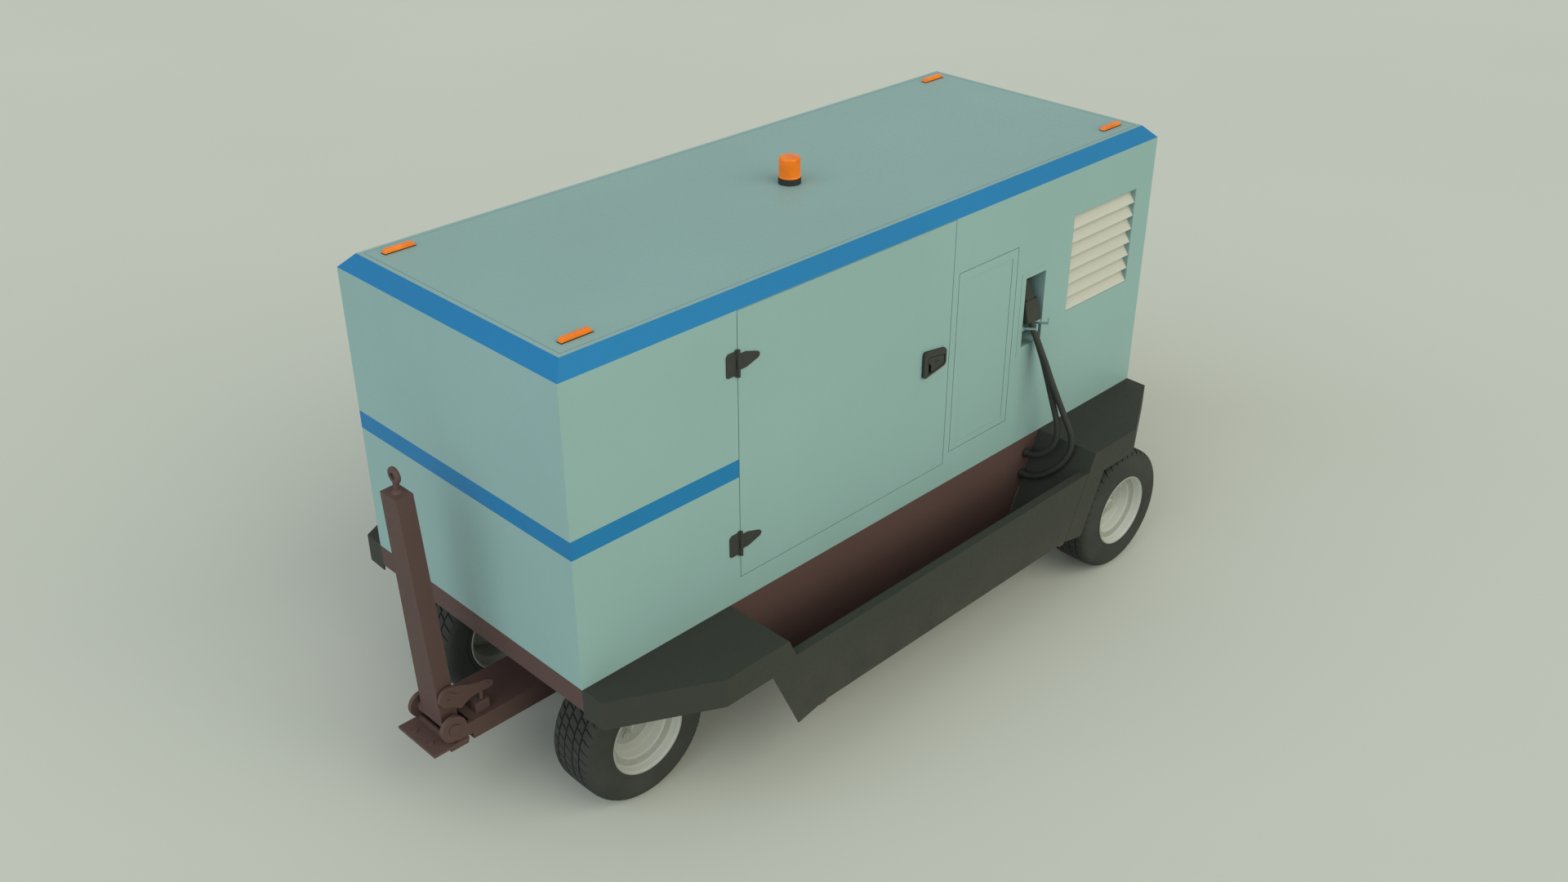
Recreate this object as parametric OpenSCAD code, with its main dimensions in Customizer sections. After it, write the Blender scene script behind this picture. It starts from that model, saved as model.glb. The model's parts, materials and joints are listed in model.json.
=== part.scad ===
// Towable diesel generator: a ground power unit on a four-wheel trailer, tow bar stowed upright.
// Millimetres. +X runs to the rear, the service side faces -Y, +Z is up, the ground is z = 0.

/* [Cabinet] */
// Length of the cabinet and of the chassis under it
cab_l = 3374; // [3300:1:3450]
// Width of the cabinet and of the chassis
cab_w = 1300; // [1280:1:1340]
// Height of the side walls, up to the sloping roof edge
wall_h = 1216; // [1200:1:1260]
// Rise, and inset, of the sloping roof edge
roof_edge = 54; // [40:1:70]
// Thickness of the cabinet's sheet metal
sheet = 3; // [2:0.5:4]

/* [Running gear] */
// Height of the cabinet floor above the ground
deck_h = 760; // [755:1:790]
// Depth of the chassis rails
rail_h = 96; // [90:1:100]
// Radius of a tyre
tyre_r = 300; // [290:1:302]
// Width of a tyre
tyre_w = 232; // [220:1:236]
// Radius of a rim's outer flange
rim_r = 173; // [168:1:176]
// Front axle, back from the front of the cabinet
front_axle_x = 348; // [344:1:352]
// Rear axle, back from the front of the cabinet
rear_axle_x = 2985; // [2980:1:2990]
// Distance between the middles of the front tyres
front_track = 918; // [900:1:930]
// Distance between the middles of the rear tyres
rear_track = 1652; // [1645:1:1660]

/* [Fenders and trays] */
// How far the fenders and trays stand out from the chassis
fender_out = 318; // [315:1:330]
// Depth of a fender's skirt
skirt_h = 122; // [110:1:126]
// Thickness of the fender and tray sheet
fender_t = 4; // [3:0.5:5]
// Depth of the cable trays below the cabinet floor
tray_depth = 389; // [380:1:395]

/* [Tow bar] */
// Height of the tow bar's pivot below the cabinet floor
pivot_drop = 372; // [370:1:374]
// Length of the tow bar tube
bar_l = 1016; // [950:1:1040]
// Width of the tow bar at its pivot
bar_w0 = 136; // [130:1:140]
// Width of the tow bar at its tip
bar_w1 = 100; // [90:1:110]
// Forward lean of the stowed tow bar
bar_lean = 2.6; // [2:0.1:3]
// Radius of the tow bar's pivot pin
pivot_r = 15; // [12:0.5:16]

/* [Door and hatch] */
// Gap round the door and the hatch
seam = 3; // [2:0.5:4]
// Radius of the door hinge pins
hinge_pin_r = 4; // [3:0.5:4]
// Radial clearance of a running fit
run_fit = 0.05; // [0.02:0.01:0.1]

/* [Hidden] */
$fn = 64;
eps = 0.01;

// Colours
teal = [0.50, 0.62, 0.58];
band_blue = [0.13, 0.42, 0.62];
dark = [0.16, 0.17, 0.15];
brown = [0.30, 0.23, 0.21];
black = [0.12, 0.12, 0.12];
rubber = [0.10, 0.10, 0.10];
rim_grey = [0.72, 0.73, 0.68];
cream = [0.76, 0.77, 0.68];
orange = [0.90, 0.42, 0.06];
steel = [0.55, 0.56, 0.58];
engine_green = [0.30, 0.38, 0.33];

// Frame: the origin is on the ground, in the middle of the whole object's box
foot_front = 318;                 // foot plate's front edge, ahead of the cabinet
front_x = -(cab_l - foot_front) / 2;
axle_z = tyre_r - deck_h;         // axle height, counted from the cabinet floor
ground_z = -deck_h;
roof_h = wall_h + roof_edge;
mid_y = cab_w / 2;

floor_t = 5;

// Side openings, counted from the front near corner of the cabinet floor
door_x = [773, 1965];
door_z = [103, wall_h];
hatch_x = [2000, 2393];
hatch_z = [147, 974];
pocket_x = [2458, 2603];
pocket_z = [482, 811];
louvre_x = [2777, 3250];
louvre_z = [552, 1007];

// Side view of the fender legs and trays: both ends of a tray lean by leg_slope
fender_end = 716;                 // where a front fender's top ends
leg_slope = 0.4413;
leg_w = 116;                      // leg, measured along the cabinet
leg_bottom = 415;
tray_lip = 89;
outrigger_w = 38;

// Tow bar mechanism
pivot_x = -215;
cheek_y = 115;                    // outer face of a cheek plate, from the middle
cheek_t = 18;
drawbar_w = 236;
drawbar_x = -138;
foot_z = -435;
drawbar_top = -376;
drawbar_h = 84;
bar_t = 71;
crank_pin = [-201, -243];
plunger_x = -62;
plunger_y = 573;

// Door hinge axis and hinge heights
hinge_x = 771;
hinge_y = -9;
hinge_z = [262, 1015];
hinge_h = 106;
knuckle_r = 7;

// Stowed plug, leaning back into its pocket
plug_x = 2520;
plug_pos = [plug_x, 4, 583];
plug_lean = 15;

// Output cables: from the gland in the chassis wall, through the tray and up to the plug
cable_d = 28;
cable_a_route = [[2567, 0, -85], [2567, -26, -85], [2568, -58, -78], [2572, -90, -60], [2579, -118, -31],
    [2586, -138, 7], [2589, -147, 52], [2588, -144, 102], [2583, -132, 157], [2579, -113, 215],
    [2573, -94, 280], [2566, -75, 345], [2558, -56, 410], [2550, -37, 465], [2542, -18, 518],
    [2536, -5, 556], [2533, 4, 580]];
cable_b_route = [[2545, 0, -185], [2545, -26, -185], [2547, -66, -178], [2553, -106, -160], [2566, -145, -130],
    [2586, -178, -92], [2606, -200, -46], [2618, -209, 0], [2619, -205, 48], [2611, -191, 100],
    [2599, -172, 152], [2585, -151, 210], [2570, -128, 275], [2555, -106, 340], [2541, -85, 405],
    [2528, -63, 465], [2519, -41, 520], [2513, -23, 562], [2511, -16, 580]];

// Everything on the trailer is drawn from the front near corner of the cabinet floor
module place() {
    translate([front_x, -mid_y, deck_h]) children();
}

// The same, mirrored to the far side of the trailer
module far_side() {
    translate([0, cab_w, 0]) mirror([0, 1, 0]) children();
}

// The same, turned round to the rear end
module rear_of() {
    translate([cab_l, 0, 0]) mirror([1, 0, 0]) children();
}

// A flat sheet standing in the X-Z plane, drawn from its outline, its outer face at y
module side_sheet(points, y, t) {
    translate([0, y + t, 0]) rotate([90, 0, 0]) linear_extrude(t) polygon(points);
}

module box(lo, hi) {
    translate(lo) cube(hi - lo);
}

// Cylinders along X and along Y
module bar_x(p, r, l) {
    translate(p) rotate([0, 90, 0]) cylinder(r = r, h = l);
}
module bar_y(p, r, l) {
    translate(p) rotate([-90, 0, 0]) cylinder(r = r, h = l);
}

// Points of an outline moved inwards by t (counterclockwise outlines)
function left_of(p, q) = let (d = q - p, l = norm(d)) [-d[1] / l, d[0] / l];
function inset(pts, t) = [for (i = [0 : len(pts) - 1])
    let (a = pts[(i + len(pts) - 1) % len(pts)], b = pts[i], c = pts[(i + 1) % len(pts)],
        m = left_of(a, b), n = left_of(b, c))
    b + (m + n) * t / (1 + m * n)];

// A tube swept along a route: rings of vectors square to the route's direction
tube_sides = 10;
function unit(v) = v / norm(v);
function direction(r, i) = unit(r[min(i + 1, len(r) - 1)] - r[max(i - 1, 0)]);
function ring(r, i, d) = let (t = direction(r, i), u = unit(cross(t, [0.9, 0, 0.4])), v = cross(t, u))
    [for (k = [0 : tube_sides - 1]) let (a = 360 * k / tube_sides)
        r[i] + (u * cos(a) + v * sin(a)) * d / 2];
module tube(route, d) {
    n = len(route);
    s = tube_sides;
    points = [for (i = [0 : n - 1]) each ring(route, i, d)];
    walls = [for (i = [0 : n - 2]) for (k = [0 : s - 1])
        [i * s + k, i * s + (k + 1) % s, (i + 1) * s + (k + 1) % s, (i + 1) * s + k]];
    first_cap = [for (k = [0 : s - 1]) s - 1 - k];
    last_cap = [for (k = [0 : s - 1]) (n - 1) * s + k];
    polyhedron(points, concat(walls, [first_cap, last_cap]));
}

// ---------------------------------------------------------------- chassis

// Where a tray end stands at the depth z below the floor
function leg_x(z) = fender_end - leg_slope * z;
tray_profile = [[leg_x(-tray_depth), -tray_depth], [cab_l - leg_x(-tray_depth), -tray_depth],
    [cab_l - leg_x(-rail_h), -rail_h], [leg_x(-rail_h), -rail_h]];
belly_x = [1020, 2440];
cross_x = [228, 408, 1020, 1700, 2380, 2640];
outrigger_x = [leg_x(-tray_depth) + 2, cab_l - leg_x(-tray_depth) - 2 - outrigger_w];

// A pressed channel, 6 mm thick, open to the rear
module channel(x, w, top) {
    difference() {
        box([x, 54, -rail_h], [x + w, cab_w - 54, top]);
        box([x + 6, 53, -rail_h + 6], [x + w + 1, cab_w - 53, top - 6]);
    }
}

module chassis_frame() color(brown) place() {
    // two long rails, open towards the middle
    for (y = [0, cab_w - 60]) difference() {
        box([0, y, -rail_h], [cab_l, y + 60, 0]);
        box([6, y == 0 ? 6 : y - 1, -rail_h + 6], [cab_l - 6, y == 0 ? 61 : y + 54, -6]);
    }
    // cross members, the first and last closing the ends
    channel(0, 84, 0);
    for (x = cross_x) channel(x, 60, -8);
    rear_of() channel(0, 84, 0);
    // deep side plates between the wheels, and the belly floor
    side_sheet(tray_profile, 0, 8);
    far_side() side_sheet(tray_profile, 0, 8);
    box([belly_x[0], 8, -tray_depth], [belly_x[1], cab_w - 8, -tray_depth + 6]);
    // outriggers that carry the trays
    for (x = outrigger_x)
        box([x, 6 - fender_out, -tray_depth - 16],
            [x + outrigger_w, cab_w + fender_out - 6, -tray_depth]);
}

module floor_plate() color(dark) place()
    difference() {
        box([sheet, sheet, 0], [cab_l - sheet, cab_w - sheet, floor_t]);
        // opening over the radiator's lower hose and the cable run
        box([2700, 560, -1], [3100, 760, floor_t + 1]);
    }

// ---------------------------------------------------------------- cabinet

post = 30;
module canopy_frame() color(teal) place() {
    lo = sheet;
    far_y = cab_w - sheet - post;
    end_x = cab_l - sheet - post;
    for (y = [lo, far_y]) {
        for (x = [lo, 600, door_x[1], 2650, end_x])
            if (x != door_x[1] || y != lo)
                box([x, y, 5], [x + post, y + post, wall_h - post]);
        box([lo, y, wall_h - post], [cab_l - lo, y + post, wall_h]);
    }
    for (x = [lo, 1660, end_x])
        box([x, lo + post, wall_h - post], [x + post, far_y, wall_h]);
    // posts on both sides of the door
    box([door_x[0] - post, lo, 5], [door_x[0] - 2, lo + post, wall_h - post]);
    box([door_x[1] + 2, lo, 5], [door_x[1] + 32, lo + post, wall_h - post]);
}

module front_panel() color(teal) place()
    box([0, 0, 0], [sheet, cab_w, wall_h]);

muffler_y = 1040;
muffler_z = 1010;
module rear_panel() color(teal) place()
    difference() {
        box([cab_l - sheet, 0, 0], [cab_l, cab_w, wall_h]);
        box([cab_l - 2 * sheet, grille_y[0], grille_z[0]], [cab_l + 1, grille_y[1], grille_z[1]]);
        bar_x([cab_l - 2 * sheet, muffler_y + 130, muffler_z], 42, 3 * sheet);
    }

module near_panel() color(teal) place() {
    difference() {
        box([sheet, 0, 0], [cab_l - sheet, sheet, wall_h]);
        box([door_x[0], -1, door_z[0]], [door_x[1], sheet + 1, wall_h + 1]);
        box([hatch_x[0], -1, hatch_z[0]], [hatch_x[1], sheet + 1, hatch_z[1]]);
        box([pocket_x[0], -1, pocket_z[0]], [pocket_x[1], sheet + 1, pocket_z[1]]);
        box([louvre_x[0], -1, louvre_z[0]], [louvre_x[1], sheet + 1, louvre_z[1]]);
    }
    // concealed hatch hinge: a lug above and below the opening, each with a pin
    for (z = [hatch_z[0] - 8, hatch_z[1] + 1]) box([2004, 1, z], [2020, 12, z + 7]);
    translate([hatch_hinge[0], hatch_hinge[1], hatch_z[0] - 5]) cylinder(r = hatch_pin_r, h = 30);
    translate([hatch_hinge[0], hatch_hinge[1], hatch_z[1] - 25]) cylinder(r = hatch_pin_r, h = 30);
}

module far_panel() color(teal) place() far_side()
    difference() {
        box([sheet, 0, 0], [cab_l - sheet, sheet, wall_h]);
        box([louvre_x[0], -1, louvre_z[0]], [louvre_x[1], sheet + 1, louvre_z[1]]);
    }

// A solid whose four sides lean in by the same amount as they rise, from the wall top up
module hipped(gap, rise) {
    lo = gap;
    hi_x = cab_l - gap;
    hi_y = cab_w - gap;
    intersection() {
        translate([0, cab_w, 0]) rotate([90, 0, 0]) linear_extrude(cab_w)
            polygon([[lo, 0], [hi_x, 0], [hi_x - rise, rise], [lo + rise, rise]]);
        rotate([90, 0, 90]) linear_extrude(cab_l)
            polygon([[lo, 0], [hi_y, 0], [hi_y - rise, rise], [lo + rise, rise]]);
    }
}

roof_open = roof_edge + 20;
module roof_edge_trim() color(band_blue) place() translate([0, 0, wall_h])
    difference() {
        hipped(0, roof_edge);
        translate([0, 0, -eps]) hipped(sheet * 1.4, roof_edge - sheet);
        box([roof_open, roof_open, 0], [cab_l - roof_open, cab_w - roof_open, roof_edge + 1]);
    }

// The roof sheet fills the trim's opening; its edges are turned down
module roof_panel() color(teal) place() {
    lo = roof_open + 1.5;
    difference() {
        box([lo, lo, roof_h - 25], [cab_l - lo, cab_w - lo, roof_h]);
        box([lo + sheet, lo + sheet, roof_h - 26], [cab_l - lo - sheet, cab_w - lo - sheet, roof_h - sheet]);
    }
}

// ---------------------------------------------------------------- door

door_skin = [[door_x[0] + seam, door_z[0] + seam], [door_x[1] - seam, door_z[0] + seam],
    [door_x[1] - seam, door_z[1] - 4], [door_x[0] + seam, door_z[1] - 4]];
latch_outline = [[1792, 584], [1801, 576], [1916, 597], [1926, 602], [1930, 611], [1930, 666], [1921, 677],
    [1806, 694], [1797, 692], [1792, 684]];
latch_recess = [[1818, 588], [1916, 606], [1922, 612], [1922, 646], [1916, 652], [1818, 667]];
paddle_axis = [1913, -4];
paddle_outline = [[1838, 600], [1848, 596], [1911, 608], [1917.4, 614], [1917.4, 644], [1911, 649], [1824, 662],
    [1822, 640], [1838, 624]];

module door_panel() color(teal) place()
    difference() {
        union() {
            side_sheet(door_skin, 0, sheet);
            // folded stiffening tray behind the skin
            difference() {
                side_sheet(inset(door_skin, 44), sheet, 30);
                side_sheet(inset(door_skin, 50), sheet + 2, 40);
            }
            // stiffening rib
            box([1340, sheet, 160], [1380, sheet + 28, 1150]);
        }
        // opening for the latch
        side_sheet(inset(latch_recess, -4), -1, 40);
    }

// One hinge: a rounded leaf, two outer knuckles and the pin, fixed to the cabinet
module door_hinge_leaves() color(black) place() for (z = hinge_z) translate([0, 0, z]) {
    third = hinge_h / 3;
    side_sheet([[718, -40], [724, -46], [763, -46], [763, 47], [728, 47], [718, 37]], -5, 5);
    for (s = [-1, 1]) translate([hinge_x, hinge_y, s * third - third / 2])
        difference() {
            union() {
                cylinder(r = knuckle_r, h = third - 0.6);
                translate([-10, 1, 0]) cube([10, 8, third - 0.6]);
            }
            translate([0, 0, -1]) cylinder(r = hinge_pin_r, h = third + 2);
        }
    translate([hinge_x, hinge_y, -hinge_h / 2]) cylinder(r = hinge_pin_r, h = hinge_h);
    for (dz = [-30, 26]) bar_y([738, -7, dz], 6, 3);
}

// One strap: the middle knuckle and the tapered strap, fixed to the door
module door_hinge_straps() color(black) place() for (z = hinge_z) translate([0, 0, z]) {
    third = hinge_h / 3;
    difference() {
        union() {
            side_sheet([[780, -30], [813, -30], [870, -13], [878, -7], [880, 0], [878, 7], [870, 13], [813, 31],
                [780, 31]], -5, 5);
            translate([hinge_x, hinge_y, -third / 2 + 0.4]) cylinder(r = knuckle_r, h = third - 0.8);
            box([hinge_x, -8, -third / 2 + 0.4], [790, -1, third / 2 - 0.4]);
        }
        translate([hinge_x, hinge_y, -third]) cylinder(r = hinge_pin_r + run_fit, h = 2 * third);
    }
    for (p = [[798, 0], [862, 0]]) bar_y([p[0], -7, p[1]], 6, 3);
}

// Latch: a bezel with a recess, and the paddle that lies in the recess and carries the lock
module latch_housing() color(black) place() {
    difference() {
        union() {
            side_sheet(latch_outline, -14, 14);
            side_sheet(inset(latch_recess, -3), -2, 28);
        }
        side_sheet(latch_recess, -15, 37);
    }
    // paddle pivot pin, held in the bezel at both ends
    translate([paddle_axis[0], paddle_axis[1], 600]) cylinder(r = 2.5, h = 58);
}
module latch_paddle() color(black) place()
    difference() {
        union() {
            side_sheet(paddle_outline, -12, 6);
            translate([paddle_axis[0], paddle_axis[1], 610]) cylinder(r = 5, h = 38);
            bar_y([1871, -14, 634], 9, 4);
        }
        translate([paddle_axis[0], paddle_axis[1], 600]) cylinder(r = 2.5 + run_fit, h = 58);
        // key slot
        box([1869.5, -15, 628], [1872.5, -9, 640]);
    }

// ---------------------------------------------------------------- control hatch and plug pocket

// The axis lies inside the hatch's edge, so the hatch swings clear of the panel
hatch_hinge = [2012, 6.5];
hatch_pin_r = 2.5;
hatch_skin = [[hatch_x[0] + seam, hatch_z[0] + seam], [hatch_x[1] - seam, hatch_z[0] + seam],
    [hatch_x[1] - seam, hatch_z[1] - seam], [hatch_x[0] + seam, hatch_z[1] - seam]];
module control_hatch() color(teal) place()
    difference() {
        side_sheet(hatch_skin, 0, 16);
        // sunk middle field, and the hollow back
        box([2042, -1, 180], [2357, 3, 933]);
        side_sheet(inset(hatch_skin, 14), 5.5, 20);
        // sockets for the hinge pins
        for (z = [hatch_z[0], hatch_z[1] - 26])
            translate([hatch_hinge[0], hatch_hinge[1], z]) cylinder(r = hatch_pin_r + run_fit, h = 26);
    }

module control_box() color([0.62, 0.64, 0.62]) place() {
    difference() {
        box([2010, 40, 155], [2385, 330, 965]);
        box([2012, 42, 157], [2383, 331, 963]);
    }
    // meters, a selector and breaker covers on the front
    for (x = [2070, 2160]) bar_y([x, 30, 860], 34, 10);
    bar_y([2280, 28, 860], 22, 12);
    box([2060, 32, 640], [2340, 40, 760]);
    for (x = [2070 : 60 : 2310]) box([x, 30, 420], [x + 42, 40, 520]);
}

pocket_depth = 180;
module plug_pocket() color(teal) place()
    difference() {
        union() {
            // outer flange, standing 1 mm proud of the side
            box([2431, -1.5, 447], [2631, 0, 835]);
            box([pocket_x[0] + 0.5, 0, pocket_z[0] + 0.5], [pocket_x[1] - 0.5, pocket_depth, pocket_z[1] - 0.5]);
        }
        box([pocket_x[0] + 3, -3, pocket_z[0] + 3], [pocket_x[1] - 3, pocket_depth - 3, pocket_z[1] - 3]);
    }

// Two prongs that hold the plug: each runs out of the pocket and turns up at its end
prong_x = [2478, 2562];
prong_tip = [0, -64.6, 588.8];
module plug_prongs() color([0.56, 0.68, 0.64]) place() for (x = prong_x) {
    translate([x, 10, 566]) rotate([73, 0, 0]) cylinder(r = 5, h = 80);
    translate([x, 0, 0] + prong_tip - [0, 0, 6]) cylinder(r = 4.6, h = 30);
    // root block, fixed to the side wall of the pocket
    box([x > plug_x ? x - 7 : pocket_x[0] + 3, 3, 558], [x > plug_x ? pocket_x[1] - 3 : x + 7, 16, 574]);
}

module output_plug() color(black) place() translate(plug_pos) rotate([-plug_lean, 0, 0]) {
    // broad rubber body, narrower nose and cable boot
    hull() for (x = [-36, 36], y = [-20, 20]) translate([x, y, 6]) cylinder(r = 9, h = 100, $fn = 24);
    hull() for (x = [-14, 14]) translate([x, 0, 106]) cylinder(r1 = 24, r2 = 20, h = 88);
}

module output_cable_a() color(rubber) place() tube(cable_a_route, cable_d);
module output_cable_b() color(rubber) place() tube(cable_b_route, cable_d);

module cable_glands() color(black) place()
    for (p = [cable_a_route[0], cable_b_route[0]])
        difference() {
            union() {
                bar_y([p[0], -14, p[2]], 22, 14);
                bar_y([p[0], -24, p[2]], 18, 10);
            }
            bar_y([p[0], -25, p[2]], 15, 26);
        }

// ---------------------------------------------------------------- louvre, grille and lamps

blades = 7;
blade_pitch = (louvre_z[1] - louvre_z[0] - 6) / blades;
module louvre_frame() color(teal) place() for (side = [0, 1])
    translate([0, side * cab_w, 0]) mirror([0, side, 0])
        difference() {
            box([louvre_x[0] + 0.5, 0, louvre_z[0] + 0.5], [louvre_x[1] - 0.5, 62, louvre_z[1] - 0.5]);
            box([louvre_x[0] + 3, -1, louvre_z[0] + 3], [louvre_x[1] - 3, 63, louvre_z[1] - 3]);
        }

// Each blade slopes from its front lower edge back and up; the top one is cut short by the frame
function blade_profile(rise) = let (run = 48 * rise / (blade_pitch + 12))
    [[1, 0], [4, 0], [4 + run, rise], [1 + run, rise]];
module louvre_blades() color(cream) place() for (side = [0, 1])
    translate([0, side * cab_w, 0]) mirror([0, side, 0])
        for (i = [0 : blades - 1]) translate([louvre_x[0] + 3, 0, louvre_z[0] + 4 + i * blade_pitch])
            rotate([90, 0, 90]) linear_extrude(louvre_x[1] - louvre_x[0] - 6)
                polygon(blade_profile(blade_pitch + (i < blades - 1 ? 12 : -2.5)));

grille_y = [330, 1000];
grille_z = [140, 900];
module outlet_grille() color(dark) place() {
    pitch = 38;
    x0 = cab_l - 24;
    difference() {
        box([x0, grille_y[0] + 0.5, grille_z[0] + 0.5], [cab_l - 0.5, grille_y[1] - 0.5, grille_z[1] - 0.5]);
        box([x0 - 1, grille_y[0] + 14, grille_z[0] + 14], [cab_l + 1, grille_y[1] - 14, grille_z[1] - 14]);
    }
    for (z = [grille_z[0] + 30 : pitch : grille_z[1] - 34])
        translate([x0, grille_y[0] + 14, z]) rotate([0, 35, 0]) cube([3, grille_y[1] - grille_y[0] - 28, 26]);
}

beacon_pos = [cab_l / 2, mid_y, roof_h];
module beacon_base() color(black) place() translate(beacon_pos) {
    cylinder(r = 47, h = 26);
    cylinder(r = 30, h = 27);
}
module beacon_lens() color(orange) place() translate(beacon_pos + [0, 0, 26])
    rotate_extrude() polygon([[30, 0], [46, 0], [45, 74], [43, 81], [38, 85], [30, 87], [0, 87], [0, 1], [30, 1]]);

marker_x = [117, cab_l - 250];
marker_y = [121, cab_w - 148];
module at_markers() for (x = marker_x, y = marker_y) translate([x, y, roof_h]) children();
module marker_bases() color(black) place() at_markers() cube([133, 27, 3]);
module marker_lenses() color(orange) place() at_markers()
    intersection() {
        translate([0, 27, 3]) rotate([90, 0, 0]) linear_extrude(27)
            polygon([[1, 0], [132, 0], [123, 15], [10, 15]]);
        translate([0, 0, 3]) rotate([90, 0, 90]) linear_extrude(133)
            polygon([[1, 0], [26, 0], [23, 15], [4, 15]]);
    }

// ---------------------------------------------------------------- fenders and trays

fender_plan = [[0, 0], [4, -104], [400, -fender_out], [fender_end, -fender_out], [fender_end, 0]];
leg_profile = [[fender_end - leg_w, -skirt_h + 40], [fender_end - leg_w + 32, -skirt_h], [768, -leg_bottom],
    [leg_x(-tray_depth) - 3, -tray_depth - 3], [fender_end, 0], [fender_end - leg_w, 0]];

// A front fender: a top plate with its skirt, the leg, and the sloping sheet that faces the tray
module fender() {
    difference() {
        translate([0, 0, -skirt_h]) linear_extrude(skirt_h) polygon(fender_plan);
        translate([0, 0, -skirt_h - 1]) linear_extrude(skirt_h + 1 - fender_t) polygon(inset(fender_plan, fender_t));
        // the inner and rear sides are closed by the chassis and by the sloping sheet
        box([fender_t + 2, -fender_t - 1, -skirt_h - 1], [fender_end + 1, 1, -fender_t]);
        box([fender_end - fender_t - 1, -fender_out + fender_t, -skirt_h - 1], [fender_end + 1, 1, -fender_t]);
    }
    side_sheet(leg_profile, -fender_out, fender_t);
    side_sheet([[fender_end - fender_t * 1.1, 0], [leg_x(-tray_depth) - fender_t * 1.1, -tray_depth],
        [leg_x(-tray_depth), -tray_depth], [fender_end, 0]], -fender_out, fender_out);
}
module fender_pair() {
    fender();
    rear_of() fender();
}
module fenders_near() color(dark) place() fender_pair();
module fenders_far() color(dark) place() far_side() fender_pair();

// A cable tray: floor, outer wall and the flange along the wall's top
tray_gap = 0.5;
module tray() {
    x0 = leg_x(-tray_depth) + tray_gap;
    x1 = leg_x(-tray_lip) + tray_gap;
    side_sheet([[x0, -tray_depth], [cab_l - x0, -tray_depth], [cab_l - x1, -tray_lip], [x1, -tray_lip]],
        -fender_out + 1, fender_t);
    box([x0, -fender_out + 1, -tray_depth], [cab_l - x0, 0, -tray_depth + fender_t]);
    box([x1, -fender_out + 1, -tray_lip], [cab_l - x1, -fender_out + 41, -tray_lip + fender_t]);
}
module tray_near() color(dark) place() tray();
module tray_far() color(dark) place() far_side() tray();

// ---------------------------------------------------------------- engine bay

crank = [900, 700, 420];          // front end of the block, on the crankshaft's line
fan_x = 2140;
fan_z = 600;
module engine() color(engine_green) place() {
    translate(crank) {
        // block, sump, heads and rocker cover; the crankcase and the heads are hollow
        difference() {
            union() {
                box([0, -150, -130], [1000, 150, 260]);
                box([60, -115, -250], [940, 115, -130]);
                box([20, -125, 260], [980, 125, 360]);
            }
            box([40, -112, -90], [960, 112, 245]);
            box([80, -95, -238], [920, 95, -140]);
            box([40, -105, 275], [960, 105, 350]);
        }
        box([40, -90, 360], [960, 90, 440]);
        // bell housing
        bar_x([-60, 0, 0], 215, 60);
        // intake manifold, exhaust manifold, filter and starter
        box([80, -200, 250], [920, -150, 320]);
        for (x = [120 : 140 : 820]) box([x, 150, 220], [x + 60, 200, 290]);
        bar_x([100, 225, 255], 34, 800);
        box([300, 200, 215], [380, 260, 295]);
        bar_x([560, -190, -60], 46, 240);
        bar_x([120, -192, 60], 50, 200);
        // front cover and the fan's bearing carrier
        box([1000, -110, -90], [1080, 110, 240]);
        bar_x([1080, 0, fan_z - crank[2]], 45, 120);
        bar_x([1200, 0, fan_z - crank[2]], 16, 60);
        // feet
        for (x = [80, 820], s = [-1, 1]) {
            box([x, s > 0 ? 150 : -260, -130], [x + 100, s > 0 ? 260 : -150, -100]);
            box([x + 20, s > 0 ? 190 : -250, -crank[2] + 5], [x + 80, s > 0 ? 250 : -190, -130]);
        }
    }
}

module alternator() color([0.35, 0.42, 0.48]) place() translate(crank) {
    difference() {
        bar_x([-560, 0, 0], 235, 500);
        bar_x([-540, 0, 0], 170, 460);
    }
    bar_x([-600, 0, 0], 190, 40);
    box([-480, -110, 215], [-160, 110, 330]);
    for (s = [-1, 1]) box([-500, s > 0 ? 120 : -200, -crank[2] + 5], [-120, s > 0 ? 200 : -120, -150]);
}

module radiator() color(black) place() {
    box([2270, 345, 90], [2350, 1055, 150]);
    box([2280, 360, 150], [2340, 1040, 1000]);
    box([2270, 345, 1000], [2350, 1055, 1080]);
    for (y = [345, 1043]) box([2276, y, 5], [2344, y + 12, 1040]);
}

fan_blades = 7;
module cooling_fan() color([0.9, 0.9, 0.86]) place() translate([fan_x, crank[1], fan_z])
    difference() {
        union() {
            rotate([0, 90, 0]) cylinder(r = 62, h = 46);
            for (i = [0 : fan_blades - 1]) rotate([i * 360 / fan_blades, 0, 0])
                translate([23, 0, 50]) rotate([0, 0, 32]) translate([-4, -38, 0]) cube([8, 76, 240]);
        }
        translate([-1, 0, 0]) rotate([0, 90, 0]) cylinder(r = 16 + run_fit, h = 48);
    }

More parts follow.
